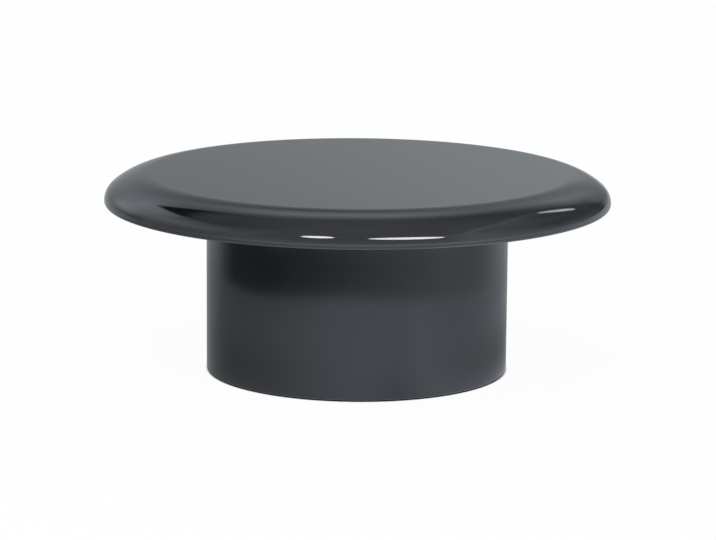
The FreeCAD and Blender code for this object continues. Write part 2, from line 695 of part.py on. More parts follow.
def write_nodes():
    os.makedirs("parts", exist_ok=True)
    for thing in nodes:
        shape = thing.Shape
        shape.exportStep(f"parts/{thing.Label}.step")
        print(f"{thing.Label}: {len(shape.Solids)} solid(s), {shape.Volume / 1000:.1f} cm3")


top_form = build_top_form()
build_panels(top_form)
build_rim(top_form)
build_core()
build_drum_shell()
build_drum_frame()
build_posts()
build_screws()
build_fixings()
build_levellers()
doc.recompute()
check_document()
write_nodes()
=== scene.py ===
# %% [markdown]
# # A round cocktail table in gloss lacquer
#
# The real table is a thick round top with a soft rolled edge, set on a plain drum. Everything that shows is
# one near-black lacquer polished to a mirror, so most of what the eye sees is the room reflected in it.
# Inside are boards, posts, bolts and four screw-out glides, which show from underneath.
#
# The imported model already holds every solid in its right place. This lesson loads it as a frame that never
# moves, turns finer meshes for the surfaces that show, and gives each piece a finish made from nodes.

import json
from functools import partial
from math import acos, cos, pi, radians, sin

import bmesh
import bpy
from mathutils import Matrix, Vector


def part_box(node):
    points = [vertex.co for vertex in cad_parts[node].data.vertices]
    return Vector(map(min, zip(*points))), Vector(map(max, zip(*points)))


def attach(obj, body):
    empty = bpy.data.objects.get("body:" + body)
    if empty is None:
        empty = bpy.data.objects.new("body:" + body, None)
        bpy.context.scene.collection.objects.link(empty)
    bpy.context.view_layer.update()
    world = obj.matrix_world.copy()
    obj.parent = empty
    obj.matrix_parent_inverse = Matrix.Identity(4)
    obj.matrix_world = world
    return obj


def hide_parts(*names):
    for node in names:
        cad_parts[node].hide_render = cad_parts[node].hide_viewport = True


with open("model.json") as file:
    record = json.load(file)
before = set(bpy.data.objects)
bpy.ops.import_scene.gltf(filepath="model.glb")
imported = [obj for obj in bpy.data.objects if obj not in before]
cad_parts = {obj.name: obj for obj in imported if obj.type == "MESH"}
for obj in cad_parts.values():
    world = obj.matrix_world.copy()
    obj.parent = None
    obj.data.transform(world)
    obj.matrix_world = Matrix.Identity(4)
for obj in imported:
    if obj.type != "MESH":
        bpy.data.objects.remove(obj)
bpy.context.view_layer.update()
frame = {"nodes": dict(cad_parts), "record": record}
nodes = frame["nodes"]

# %% [markdown]
# ## Sizes
#
# A piece that replaces a solid has to lie exactly where the solid lies, so heights and radii are read from
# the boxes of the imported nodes. Only what a box can't tell is written out: the inside of the rim and of the
# drum's skin, and how the rolled edge is shaped. All lengths are in metres.

# %% Read the main sizes
def heights(node):
    low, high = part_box(node)
    return low.z, high.z


def radius_of(node):
    low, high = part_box(node)
    return (high.x - low.x) / 2


DIGITS = 4
TOP_SEAM, TABLE_HEIGHT = heights("top_panel")
UNDERSIDE, LOWER_SEAM = heights("under_panel")
RIM_RADIUS = round(radius_of("under_panel"), DIGITS)
RIM_INNER = 0.4335
DRUM_FOOT, DRUM_HEAD = heights("drum_skin")
DRUM_RADIUS = round(radius_of("drum_skin"), DIGITS)
DRUM_SKIN = 0.006
EDGE_WIDTH, EDGE_DROP, LOWER_RADIUS = 0.095, 0.058, 0.008
SHOULDER_TURN = radians(40)
print(f"top {2 * RIM_RADIUS:.3f} m across, {TABLE_HEIGHT:.3f} m high, drum {2 * DRUM_RADIUS:.3f} m across")

# %% [markdown]
# ## Nodes in few words
#
# Finishes are node trees. One helper adds a node, sets its options and fills its sockets, either with a
# value or with a link from another node. A link knows its tree, so the helpers for sums, products and
# blends need only links. An effect that several finishes share is made once, as a node group with named
# sockets.

# %% Helpers for node trees
FIRST_COLOUR, SECOND_COLOUR, MIXED_COLOUR = 6, 7, 2


def put(tree, kind, sockets=None, **settings):
    """Adds a node, sets its options, fills its input sockets with values or links; returns its outputs."""
    node = tree.nodes.new(kind)
    for name, value in settings.items():
        setattr(node, name, value)
    for key, value in (sockets or {}).items():
        if isinstance(value, bpy.types.NodeSocket):
            tree.links.new(value, node.inputs[key])
        else:
            node.inputs[key].default_value = value
    return node.outputs


def put_after(kind, sockets, **settings):
    """Adds a node to the tree that the first of its links comes from."""
    links = [value for value in sockets.values() if isinstance(value, bpy.types.NodeSocket)]
    return put(links[0].id_data, kind, sockets, **settings)


def math_node(operation, *values):
    return put_after("ShaderNodeMath", dict(enumerate(values)), operation=operation)[0]


plus = partial(math_node, "ADD")
minus = partial(math_node, "SUBTRACT")
times = partial(math_node, "MULTIPLY")


def ease(value, low, high, to_low=0.0, to_high=1.0):
    """A smooth step of a value from one level to another."""
    sockets = {"Value": value, "From Min": low, "From Max": high, "To Min": to_low, "To Max": to_high}
    return put_after("ShaderNodeMapRange", sockets, interpolation_type="SMOOTHSTEP")["Result"]


def fade(value, low, high):
    return ease(value, low, high, 1.0, 0.0)


def blend(factor, first, second):
    """Blends two colours, each of them a link or three numbers."""
    ends = [end if isinstance(end, bpy.types.NodeSocket) else (*end, 1.0) for end in (first, second)]
    sockets = {"Factor": factor, FIRST_COLOUR: ends[0], SECOND_COLOUR: ends[1]}
    return put_after("ShaderNodeMix", sockets, data_type="RGBA")[MIXED_COLOUR]


def open_group(name, inputs, outputs):
    """A new node group with named sockets; returns its tree and the sockets that bring values in."""
    tree = bpy.data.node_groups.new(name, "ShaderNodeTree")
    for label, kind in inputs.items():
        tree.interface.new_socket(label, in_out="INPUT", socket_type="NodeSocket" + kind)
    for label in outputs:
        tree.interface.new_socket(label, in_out="OUTPUT", socket_type="NodeSocketFloat")
    return tree, tree.nodes.new("NodeGroupInput").outputs


def close_group(tree, results):
    put(tree, "NodeGroupOutput", results)
    print("group:", tree.name, "nodes:", len(tree.nodes))


def use_group(group, sockets):
    return put_after("ShaderNodeGroup", sockets, node_tree=group)


print("node helpers ready")

# %% [markdown]
# ## Camera
#
# The photograph was taken from a little above the table with a long lens. Distance, height, focal length
# and a tilt of under half a degree were found by fitting the outline of the top and the drum.

# %% Place the camera
FRAME_WIDTH = 716
CAMERA_PLACE = Vector((0.0020, -6.8782, 1.5911))
CAMERA_PITCH, CAMERA_ROLL = 0.19807, 0.00789
FOCAL_PIXELS = 3309.78


def add_object(name, data):
    thing = bpy.data.objects.new(name, data)
    bpy.context.scene.collection.objects.link(thing)
    return thing


lens = bpy.data.cameras.new("photo_camera")
lens.lens = FOCAL_PIXELS * lens.sensor_width / FRAME_WIDTH
camera = add_object("photo_camera", lens)
aim = Matrix.Rotation(pi / 2 - CAMERA_PITCH, 4, "X") @ Matrix.Rotation(CAMERA_ROLL, 4, "Z")
camera.matrix_world = Matrix.Translation(CAMERA_PLACE) @ aim
bpy.context.scene.camera = camera
bpy.context.scene.view_settings.view_transform = "Standard"
print(f"lens {lens.lens:.1f} mm, {CAMERA_PLACE.length:.2f} m from the table")

# %% [markdown]
# ## The room that the lacquer reflects
#
# A mirror finish has hardly any colour of its own, so the room is half of its look. The world is a soft
# studio: pale ceiling and front walls, a dimmer wall behind the table, and broad soft panels. Each panel is
# the same node group, a soft-edged window given by its compass direction and its height above the horizon,
# in degrees.

# %% A soft window of light
HALF_TURN = 180.0
WINDOW_SOCKETS = ("Azimuth", "Elevation", "Facing", "Height", "Half Width", "Half Height", "Softness")

window, given = open_group("soft_window", dict.fromkeys(WINDOW_SOCKETS, "Float"), ["Mask"])
across = minus(given["Azimuth"], given["Facing"])
across = math_node("WRAP", across, HALF_TURN, -HALF_TURN)
above = minus(given["Elevation"], given["Height"])
masks = []
for offset, reach in ((across, given["Half Width"]), (above, given["Half Height"])):
    distance = math_node("ABSOLUTE", offset)
    inner = minus(reach, given["Softness"])
    outer = plus(reach, given["Softness"])
    masks.append(fade(distance, inner, outer))
close_group(window, {"Mask": times(*masks)})


def soft_mask(*values):
    """The mask of a soft window, given its values in the order of the sockets."""
    return use_group(window, dict(zip(WINDOW_SOCKETS, values)))["Mask"]


# %% [markdown]
# The windows are laid over each other from the broadest to the smallest, with levels where 1 is white
# paper. The front and the panels are a trace cooler than the back, as daylight is. Where the panels meet
# the back wall there are dark corners: they lean, as corners of a room do in a curved mirror, and the left
# one opens upwards like a wedge. On the right a faint arch draws the fine slanting line on the nose of the
# edge. The camera itself sees plain white.

# %% Choose the windows and corners
COOL, SOFT, PLAIN = (0.965, 1.0, 1.16), (0.94, 1.0, 1.11), (0.925, 1.0, 1.03)
WHITE = (1.0, 1.0, 1.0)
CEILING = (0.84, COOL)
# facing, height, half width, half height and softness in degrees, then level and tint
STUDIO = {
    "back_wall": (10, -15, 107, 81, 30, 0.17, PLAIN),
    "right_wall": (105, 15, 16, 46, 18, 1.00, SOFT),
    "low_back_wall": (-22, -3, 37, 26, 27, 0.47, PLAIN),
    "left_wall": (-93, 5, 26, 45, 6, 0.64, SOFT),
    "left_panel": (-73, 31, 50, 8, 22, 1.56, SOFT),
    "back_softbox": (-2, 48, 17, 9, 12, 1.26, SOFT),
    "right_panel": (123, 13, 12, 30, 12, 1.44, SOFT),
    "front_horizon": (156, -7, 94, 11, 30, 1.62, COOL),
    "upper_right_panel": (82, 51, 29, 13, 30, 1.02, SOFT),
    "left_strip": (-48, 27, 13, 18, 10, 1.18, SOFT),
    "back_strip": (19, 29, 5, 7, 20, 1.42, SOFT),
    "wall_glow": (5, 10, 5, 3, 5, 0.55, PLAIN),
    "right_glow": (25, 3, 5, 3, 4, 0.40, PLAIN),
}
# facing, height, lean, half width, widening, half height, softness, level, and where it fades upwards
CORNERS = {
    "left_corner": (-32.5, 35.0, -0.6, 0.0, 1.05, 22.0, 2.5, 0.00, (44.5, 55.5)),
    "right_corner": (34.4, 12.0, -0.2, 4.6, 0.0, 12.0, 4.2, 0.13, (30.0, 31.0)),
    "upper_corner": (33.5, 31.0, 0.0, 4.0, 0.0, 9.0, 2.2, 0.21, (38.0, 44.0)),
}
# the middle of the arch, then degrees from there to where its rim starts, peaks and ends
ARCH_FACING, ARCH_HEIGHT = 78.0, 7.5
ARCH_START, ARCH_PEAK, ARCH_END = 45.5, 50.3, 52.8
ARCH_FOOT, ARCH_CROWN = 34.0, 46.0
ARCH_GAIN = 0.45


def tinted(level, tint):
    return [level * part for part in tint]


def direction(facing, height):
    """The unit vector of a compass direction and a height above the horizon, in degrees."""
    turn, rise = radians(facing), radians(height)
    return Vector((sin(turn) * cos(rise), cos(turn) * cos(rise), sin(rise)))


print("studio:", ", ".join([*STUDIO, *CORNERS]))

# %% Build the studio
def split(vector):
    return put_after("ShaderNodeSeparateXYZ", {"Vector": vector})


def compass(axes):
    """The compass direction of a place: 0 is behind the table, 90 to its right, 180 towards the camera."""
    return math_node("DEGREES", math_node("ARCTAN2", axes["X"], axes["Y"]))


def scaled(colour, share):
    return put_after("ShaderNodeVectorMath", {0: colour, "Scale": share}, operation="SCALE")[0]


world = bpy.data.worlds.new("soft_studio")
world.use_nodes = True
bpy.context.scene.world = world
tree = world.node_tree
looking = put(tree, "ShaderNodeTexCoord")["Generated"]
axes = split(looking)
azimuth = compass(axes)
elevation = math_node("DEGREES", math_node("ARCSINE", axes["Z"]))
colour = tinted(*CEILING)
for *place, level, tint in STUDIO.values():
    mask = soft_mask(azimuth, elevation, *place)
    colour = blend(mask, colour, tinted(level, tint))
for facing, height, lean, half_width, widening, half_height, softness, level, fades in CORNERS.values():
    above = minus(elevation, height)
    facing = plus(times(above, lean), facing)
    half_width = plus(times(above, widening), half_width)
    mask = soft_mask(azimuth, elevation, facing, height, half_width, half_height, softness)
    mask = times(mask, fade(elevation, *fades))
    colour = blend(mask, colour, tinted(level, PLAIN))

arch_middle = direction(ARCH_FACING, ARCH_HEIGHT)
nearness = put_after("ShaderNodeVectorMath", {0: looking, 1: arch_middle}, operation="DOT_PRODUCT")
from_middle = math_node("DEGREES", math_node("ARCCOSINE", nearness["Value"]))
rim = times(ease(from_middle, ARCH_START, ARCH_PEAK), fade(from_middle, ARCH_PEAK, ARCH_END))
rim = times(rim, ease(elevation, ARCH_FOOT, ARCH_CROWN))
colour = scaled(colour, plus(times(rim, ARCH_GAIN), 1.0))
to_camera = put(tree, "ShaderNodeLightPath")["Is Camera Ray"]
seen = blend(to_camera, colour, WHITE)
tree.links.new(seen, tree.nodes["Background"].inputs["Color"])
print("world:", world.name, "nodes:", len(tree.nodes))

# %% [markdown]
# Three small lamps make the sparks along the rolled edge: two in front of the table, and a tall narrow one
# behind it to the right. A lamp's power follows from the brightness wanted and its area, and oval lamps
# give sparks with tapered ends. Two of them light the polish only, so the light on the object stays plain.

# %% Hang the lamps
# facing, height, distance, width, tall, level, lean, lights matt surfaces too
LAMPS = {
    "key_left": (-158.0, 41.6, 4.0, 0.95, 0.86, 20.0, 0, True),
    "key_right": (153.7, 35.2, 3.8, 2.24, 0.86, 19.0, -14, False),
    "spark_right": (39.4, 32.2, 4.3, 0.24, 0.97, 3.2, 3, False),
}


def hang_lamp(name, facing, height, distance, width, tall, level, lean, on_matt):
    """An oval lamp in a compass direction, pointed at the near edge of the top."""
    towards = direction(facing, height)
    data = bpy.data.lights.new(name, "AREA")
    data.shape = "ELLIPSE"
    data.size, data.size_y = width, tall
    data.energy = level * pi * (pi / 4 * width * tall)
    lamp = add_object(name, data)
    lamp.location = Vector((0, -RIM_RADIUS, TABLE_HEIGHT)) + towards * distance
    upright = towards.to_track_quat("Z", "Y").to_matrix() @ Matrix.Rotation(radians(lean), 3, "Z")
    lamp.rotation_euler = upright.to_euler()
    lamp.visible_diffuse = on_matt


for name, values in LAMPS.items():
    hang_lamp(name, *values)
print("lamps:", ", ".join(LAMPS))

# %% [markdown]
# ## Floor
#
# The floor is plain white paper. Lit only by the studio it would render a little grey, so its material
# shows most of its own white to camera, mirror and glass rays. The rest is a matt white that takes the
# shadow of the table. In the narrow gap under the drum an occlusion node takes the white away, which leaves
# the thin dark line that the photograph shows.
#
# Glides and bolts are looked at from below, so the paper is clear when seen from its back. A round opening
# where the drum stands lets light into it.

# %% Make the paper
OWN_WHITE = 0.965
GAP_DEPTH, GAP_CLOSED, GAP_OPEN = 0.012, 0.25, 0.75
GAP_SHADE, PAPER_WHITE = (0.06, 0.06, 0.06), (0.9, 0.9, 0.9)


def blank_material(name):
    """A material with an empty tree, for a surface of the stage."""
    material = bpy.data.materials.new(name)
    material.use_nodes = True
    material.node_tree.nodes.clear()
    return material, material.node_tree


def mix_shaders(share, first, second):
    return put_after("ShaderNodeMixShader", {0: share, 1: first, 2: second})[0]


def show(surface):
    put_after("ShaderNodeOutputMaterial", {"Surface": surface})


paper, tree = blank_material("white_paper")
# painted shade: in the narrow gap under the drum the occlusion mask turns the paper's colour dark grey and
# takes its own white away
open_sky = put(tree, "ShaderNodeAmbientOcclusion", {"Distance": GAP_DEPTH})["AO"]
in_the_open = ease(open_sky, GAP_CLOSED, GAP_OPEN)
grey = blend(in_the_open, GAP_SHADE, PAPER_WHITE)
matt = put_after("ShaderNodeBsdfDiffuse", {"Color": grey})[0]
glow = put(tree, "ShaderNodeEmission", {"Color": (*WHITE, 1.0)})[0]
ray = put(tree, "ShaderNodeLightPath")
seen = math_node("MAXIMUM", ray["Is Camera Ray"], ray["Is Glossy Ray"])
seen = math_node("MAXIMUM", seen, ray["Is Transmission Ray"])
own_light = times(times(seen, OWN_WHITE), in_the_open)
front = mix_shaders(own_light, matt, glow)
from_below = put(tree, "ShaderNodeNewGeometry")["Backfacing"]
clear = put(tree, "ShaderNodeBsdfTransparent")[0]
show(mix_shaders(from_below, front, clear))
print("paper:", len(tree.nodes), "nodes")

# %% Lay the floor
FLOOR_REACH = 60.0
STAGE_STEPS = 128


def full_turn(steps):
    return [2 * pi * i / steps for i in range(steps)]


def around(centre, reach, turn):
    """The point at a reach and a turn from a centre."""
    return centre[0] + reach * cos(turn), centre[1] + reach * sin(turn)


def stage_band(name, rings, material):
    """A band between two oval rings, each given by its middle, half width, half depth and height."""
    points = [(middle + wide * cos(turn), deep * sin(turn), height)
              for middle, wide, deep, height in rings for turn in full_turn(STAGE_STEPS)]
    pairs = [(i, (i + 1) % STAGE_STEPS) for i in range(STAGE_STEPS)]
    mesh = bpy.data.meshes.new(name)
    mesh.from_pydata(points, [], [(i, STAGE_STEPS + i, STAGE_STEPS + j, j) for i, j in pairs])
    mesh.materials.append(material)
    piece = add_object(name, mesh)
    return piece


def stage_ring(name, inner, height, material):
    """A flat ring round the table that faces up and reaches far out."""
    rings = [(0.0, radius, radius, height) for radius in (inner, FLOOR_REACH)]
    return stage_band(name, rings, material)


stage_ring("floor", radius_of("drum_bottom_ring"), 0.0, paper)
print("floor:", FLOOR_REACH, "m in every direction")

# %% [markdown]
# A polished drum also shows how the floor was lit: bright in front and to the right, dim behind the table.
# A thin sheet on the floor, seen by mirror rays alone, carries that light, and the paper stays white in
# every view.

# %% Lay the sheet that the polish sees
SHEET_TUCK, SHEET_LIFT = 0.01, 0.0005
SHEET_TINT = (0.92, 1.0, 1.125)
SHEET_BACK, SHEET_FRONT = tinted(0.51, PLAIN), tinted(2.6, SHEET_TINT)
NEAR_SHARE, NEAR_REACH, FAR_REACH = 0.67, 1.0, 2.2
NEAR_DRUM, PAST_DRUM = 0.32, 0.95
LEVEL, ANY_HEIGHT = 0.0, 90.0
# facing, half width and softness in degrees, next to the drum and further out, then strength
BRIGHT_LOBES = (((144, 24, 47), (138, 40, 80), 1.00),
                ((179.5, 35.6, 47.7), (166, 72, 67), 0.75),
                ((-62, -30, 10), (-62, 10, 25), 0.06))


def object_place(tree):
    return put(tree, "ShaderNodeTexCoord")["Object"]


def length_of(vector):
    return put_after("ShaderNodeVectorMath", {0: vector}, operation="LENGTH")["Value"]


def sector(bearing, facing, half_width, softness):
    """The mask of a soft sector of the stage."""
    return soft_mask(bearing, LEVEL, facing, LEVEL, half_width, ANY_HEIGHT, softness)


def for_mirrors_only(piece):
    piece.visible_camera = False
    piece.visible_diffuse = False
    piece.visible_transmission = False
    piece.visible_shadow = False


sheet_light, tree = blank_material("floor_in_the_polish")
place = object_place(tree)
away = length_of(place)
bearing = compass(split(place))
in_front = 0.0
for beside, beyond, strength in BRIGHT_LOBES:
    lobe = [ease(away, NEAR_DRUM, PAST_DRUM, *pair) for pair in zip(beside, beyond)]
    bright = times(sector(bearing, *lobe), strength)
    in_front = math_node("MAXIMUM", bright, in_front)
# painted shade: the sheet's light is dimmer next to the drum, where the top shades the floor
near = ease(away, NEAR_REACH, FAR_REACH, NEAR_SHARE, 1.0)
lit = scaled(blend(in_front, SHEET_BACK, SHEET_FRONT), near)
show(put_after("ShaderNodeEmission", {"Color": lit})[0])
for_mirrors_only(stage_ring("floor_in_the_polish", DRUM_RADIUS - SHEET_TUCK, SHEET_LIFT, sheet_light))
print("sheet:", len(BRIGHT_LOBES), "bright lobes")

# %% [markdown]
# The drum's upper half is darker, most of all on the left, and the change is a level line: there it
# reflects something low and dark that stands out of the picture. A low oval screen round the front stands
# in for it, again for mirror rays alone.

# %% Stand the low screen
SCREEN_SHIFT, SCREEN_WIDE, SCREEN_DEEP = -0.01, 1.20, 1.32
SCREEN_LIFT, SCREEN_FOOT, SCREEN_TALL = 0.001, 0.015, 0.145
SCREEN_DARK, SCREEN_PALE = tinted(0.128, PLAIN), tinted(1.18, PLAIN)
PALE_FACING, PALE_HALF, PALE_SOFT = 119.0, 43.5, 92.0
SCREEN_FADES, SCREEN_GONE = 0.05, 0.70

screen_light, tree = blank_material("low_screen")
axes = split(object_place(tree))
paler = sector(compass(axes), PALE_FACING, PALE_HALF, PALE_SOFT)
shade = blend(paler, SCREEN_DARK, SCREEN_PALE)
glow = put_after("ShaderNodeEmission", {"Color": shade})[0]
clear = put(tree, "ShaderNodeBsdfTransparent")[0]
present = times(ease(axes["Z"], 0.0, SCREEN_FOOT), fade(axes["Y"], SCREEN_FADES, SCREEN_GONE))
show(mix_shaders(present, clear, glow))
rings = [(SCREEN_SHIFT, SCREEN_WIDE, SCREEN_DEEP, height) for height in (SCREEN_TALL, SCREEN_LIFT)]
for_mirrors_only(stage_band("low_screen", rings, screen_light))
print(f"screen {SCREEN_TALL} m tall")

# %% [markdown]
# ## Lacquer
#
# The finish is sprayed, rubbed down and polished: a clear hard film over a black ground, so a plain
# dielectric with a very dark base colour and a low roughness. What gives it away as paint, close to, is the
# faint orange peel left by the spray gun, a slow waviness of the board under it, hair-fine polishing marks
# and a little dust. These are one group, because the top and the drum share them at different strengths.

# %% Group: sprayed and polished surface
PEELS, WAVES, WAVE_SHARE = 250.0, 14.0, 6.0
MARKS_TURN, MARKS_DRAWN = (0.3, 0.2, 0.6), (40.0, 1500.0, 1500.0)
MARKS_SHOW, MARKS_SHARE = (0.62, 0.72), 0.5
CLOUDS, CLOUDS_SHOW = 9.0, (0.4, 0.7)
SPECKS, SPECK_EDGE, SPECK_CHANCE, SPECK_ROUGH = 90.0, (0.02, 0.035), (0.80, 0.82), 0.3


def noise(place, scale, detail):
    return put_after("ShaderNodeTexNoise", {"Vector": place, "Scale": scale, "Detail": detail})["Fac"]


def mapped(place, **changes):
    return put_after("ShaderNodeMapping", {"Vector": place, **changes})[0]


spray, given = open_group(
    "sprayed_surface",
    {"Place": "Vector", "Peel": "Float", "Polish": "Float", "Haze": "Float", "Dust": "Float"},
    ["Height", "Roughness", "Dust"])
place = given["Place"]
slow = times(noise(place, WAVES, 1.0), WAVE_SHARE)
height = times(plus(noise(place, PEELS, 1.0), slow), given["Peel"])

streaks = mapped(place, Rotation=MARKS_TURN, Scale=MARKS_DRAWN)
marks = times(ease(noise(streaks, 1.0, 2.0), *MARKS_SHOW), MARKS_SHARE)
patch = ease(noise(place, CLOUDS, 3.0), *CLOUDS_SHOW)
haze = times(plus(marks, patch), given["Haze"])

cells = put_after("ShaderNodeTexVoronoi", {"Vector": place, "Scale": SPECKS})
chance = put_after("ShaderNodeSeparateColor", {"Color": cells["Color"]})["Red"]
speck = times(fade(cells["Distance"], *SPECK_EDGE), ease(chance, *SPECK_CHANCE))
speck = times(speck, given["Dust"])
rough = plus(plus(given["Polish"], haze), times(speck, SPECK_ROUGH))
close_group(spray, {"Height": height, "Roughness": rough, "Dust": speck})

# %% [markdown]
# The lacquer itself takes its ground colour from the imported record. Dust only lightens it a trace, and the
# bump is a few thousandths of a millimetre deep: on a mirror, more would look like hammered metal.

# %% Finish: charcoal lacquer
SLOT_COLOUR = {m["slot"]: tuple(m["base_color"]) for m in frame["record"]["materials"]}
LACQUER_INDEX = 1.5
DUST_SHARE, DUST_COLOUR = 0.5, (0.16, 0.16, 0.155)
PEEL_STRENGTH, PEEL_DEPTH = 0.12, 0.00002


def new_finish(name, **constants):
    """A material, its shader with constants on the sockets, and the place on the piece."""
    material = bpy.data.materials.new(name)
    material.use_nodes = True
    shader = material.node_tree.nodes["Principled BSDF"]
    for key, value in constants.items():
        shader.inputs[key].default_value = value
    return material, shader, object_place(material.node_tree)


def wire(shader, colour, roughness, normal):
    for key, value in (("Base Color", colour), ("Roughness", roughness), ("Normal", normal)):
        shader.id_data.links.new(value, shader.inputs[key])


def relief(height, strength, depth):
    sockets = {"Strength": strength, "Distance": depth, "Height": height}
    return put_after("ShaderNodeBump", sockets)["Normal"]


def lacquer(name, peel, polish, haze):
    material, shader, place = new_finish(name, IOR=LACQUER_INDEX)
    given = {"Place": place, "Peel": peel, "Polish": polish, "Haze": haze, "Dust": DUST_SHARE}
    film = use_group(spray, given)
    colour = blend(film["Dust"], SLOT_COLOUR["charcoal_lacquer"], DUST_COLOUR)
    wire(shader, colour, film["Roughness"], relief(film["Height"], PEEL_STRENGTH, PEEL_DEPTH))
    return material


top_lacquer = lacquer("charcoal_lacquer_top", peel=1.0, polish=0.050, haze=0.015)
drum_lacquer = lacquer("charcoal_lacquer_drum", peel=1.2, polish=0.095, haze=0.020)
print("lacquer ground:", [round(part, DIGITS) for part in SLOT_COLOUR["charcoal_lacquer"]])

# %% [markdown]
# ## Turning the top
#
# The top is a turned form, so its pieces are swept from a half section, as on a lathe. The rolled edge is
# three arcs that run into each other without a corner: a flat shoulder, a tighter nose and a small radius
# under it. The real top is a panel above, a ring of curved blocks and a panel below, lacquered over as one.
# Here they stay separate and meet along the same circles. Next to each seam one extra row of faces is a
# fifth of a millimetre wide, so that the shading of both pieces agrees there.

# %% The half section of the rolled edge
SEAM_ROW = 0.0002


def rolled_edge():
    """The three arcs as (centre radius, centre height, arc radius); angles run from straight up to out."""
    rise, run = sin(SHOULDER_TURN), cos(SHOULDER_TURN)
    shoulder = (run * EDGE_WIDTH - (1 - rise) * EDGE_DROP) / (rise + run - 1)
    nose = (rise * EDGE_DROP - (1 - run) * EDGE_WIDTH) / (rise + run - 1)
    equator = TABLE_HEIGHT - EDGE_DROP
    return ((RIM_RADIUS - EDGE_WIDTH, TABLE_HEIGHT - shoulder, shoulder),
            (RIM_RADIUS - nose, equator, nose),
            (RIM_RADIUS - LOWER_RADIUS, equator, LOWER_RADIUS))


def narrow_ends(start, end, narrow, steps):
    """Even steps from start to end, with a narrow first and last one."""
    between = [start + (end - start) * i / steps for i in range(1, steps)]
    return [start, start + narrow, *between, end - narrow, end]


def arc_points(arc, start, end, steps):
    """Points along an arc, with narrow steps at the seams."""
    across, up, reach = arc
    turns = narrow_ends(start, end, SEAM_ROW / reach, steps)
    return [(across + reach * sin(turn), up + reach * cos(turn)) for turn in turns]


def turn_at(arc, height):
    return acos((height - arc[1]) / arc[2])


SHOULDER, NOSE, LOWER = rolled_edge()
TOP_SEAM_TURN, LOWER_SEAM_TURN = turn_at(SHOULDER, TOP_SEAM), turn_at(NOSE, LOWER_SEAM)
print(f"arcs {1000 * SHOULDER[2]:.1f}, {1000 * NOSE[2]:.1f} and {1000 * LOWER[2]:.1f} mm")

# %% [markdown]
# The sweep joins rings of points into quads. A point on the axis becomes a single pole, and an outline that
# starts away from it either runs back to its start or is capped at both ends. A part turn, such as one block
# of the rim, is closed with a face at each end. Edges sharper than 30 degrees stay crisp.

# %% Helpers for turned meshes
CRISP = radians(30)
TURN_STEPS = 480


def finish_mesh(name, form, material):
    """Turns a bmesh into an object with outward normals, smooth shading and crisp corners."""
    bmesh.ops.recalc_face_normals(form, faces=form.faces)
    mesh = bpy.data.meshes.new(name)
    form.to_mesh(mesh)
    form.free()
    mesh.shade_smooth()
    mesh.set_sharp_from_angle(angle=CRISP)
    mesh.materials.append(material)
    return add_object(name, mesh)


def join_rings(form, rings, part_turn=False):
    """Joins each ring of points to the next with faces; the points of a pole are all one."""
    count = len(rings[0])
    for upper, lower in zip(rings, rings[1:]):
        for i in range(count - 1 if part_turn else count):
            j = (i + 1) % count
            corners = list(dict.fromkeys([upper[i], upper[j], lower[j], lower[i]]))
            if len(corners) > 2:
                form.faces.new(corners)


def sweep(form, outline, turns, spot=(0, 0), capped=False, part_turn=False):
    """Sweeps (radius, height) points round a spot; a radius may be a rule of the angle and the height."""
    rings = []
    for radius, height in outline:
        if radius == 0:
            ring = [form.verts.new((*spot, height))] * len(turns)
        else:
            reaches = [radius(turn, height) if callable(radius) else radius for turn in turns]
            points = [around(spot, reach, turn) for reach, turn in zip(reaches, turns)]
            ring = [form.verts.new((*point, height)) for point in points]
        rings.append(ring)
    ends = [rings[0], rings[-1]] if capped else []
    if part_turn:
        ends = [[ring[end] for ring in rings] for end in (0, -1)]
    if not capped and outline[0][0] != 0:
        rings.append(rings[0])
    join_rings(form, rings, part_turn)
    for end in ends:
        form.faces.new(end)


def turned(name, outline, material, steps=TURN_STEPS, spots=((0, 0),), capped=False):
    """An object with the same turned form at each spot."""
    form = bmesh.new()
    for spot in spots:
        sweep(form, outline, full_turn(steps), spot, capped)
    return finish_mesh(name, form, material)


def cut_away(piece, cutter):
    """Takes one object's solid out of another, and throws the cutter away."""
    tool = piece.modifiers.new("cut", "BOOLEAN")
    tool.operation = "DIFFERENCE"
    tool.solver = "EXACT"
    tool.object = cutter
    shape = piece.evaluated_get(bpy.context.evaluated_depsgraph_get())
    piece.data = bpy.data.meshes.new_from_object(shape)
    piece.modifiers.clear()
    bpy.data.objects.remove(cutter)
    piece.data.set_sharp_from_angle(angle=CRISP)


def settle(piece, body, slot, *replaced):
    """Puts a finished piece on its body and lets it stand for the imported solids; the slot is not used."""
    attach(piece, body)
    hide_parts(*replaced)
    print(f"{piece.name}: {len(piece.data.polygons)} faces")


print("lathe ready")

# %% [markdown]
# ### Upper panel
#
# The flat face needs only a few rings; the one just inside the shoulder arc keeps it truly flat to its
# edge.

# %% Turn the upper panel
FLAT_EDGE = RIM_RADIUS - EDGE_WIDTH
FACE_RINGS, BACK_RINGS = (0.1, 0.2, 0.3, 0.4), (0.4, 0.2)
SHOULDER_STEPS = 44

outline = [(radius, TABLE_HEIGHT) for radius in (0, *FACE_RINGS, FLAT_EDGE - SEAM_ROW)]
outline += arc_points(SHOULDER, 0.0, TOP_SEAM_TURN, SHOULDER_STEPS)
outline += [(radius, TOP_SEAM) for radius in (*BACK_RINGS, 0)]
settle(turned("upper_panel", outline, top_lacquer), "table", "charcoal_lacquer", "top_panel")

# %% [markdown]
# ### Rim blocks
#
# Eight curved blocks make the ring between the panels. Each is a part turn of the same section, with a slot
# in both ends for the loose spline that lines it up with its neighbour.

# %% Turn the rim blocks
RIM_BLOCKS, BLOCK_STEPS = 8, 60
BLOCK_TURN, BLOCK_END = 2 * pi / RIM_BLOCKS, radians(0.02)
BLOCK_RING = 0.47
SHOULDER_END_STEPS, NOSE_STEPS = 10, 44
SPLINE_LOW, SPLINE_HIGH = heights("rim_splines")
SPLINE_INSET, SPLINE_REACH, SPLINE_HALF, SLOT_GAP = 0.05, 0.0281, 0.0161, 0.0001


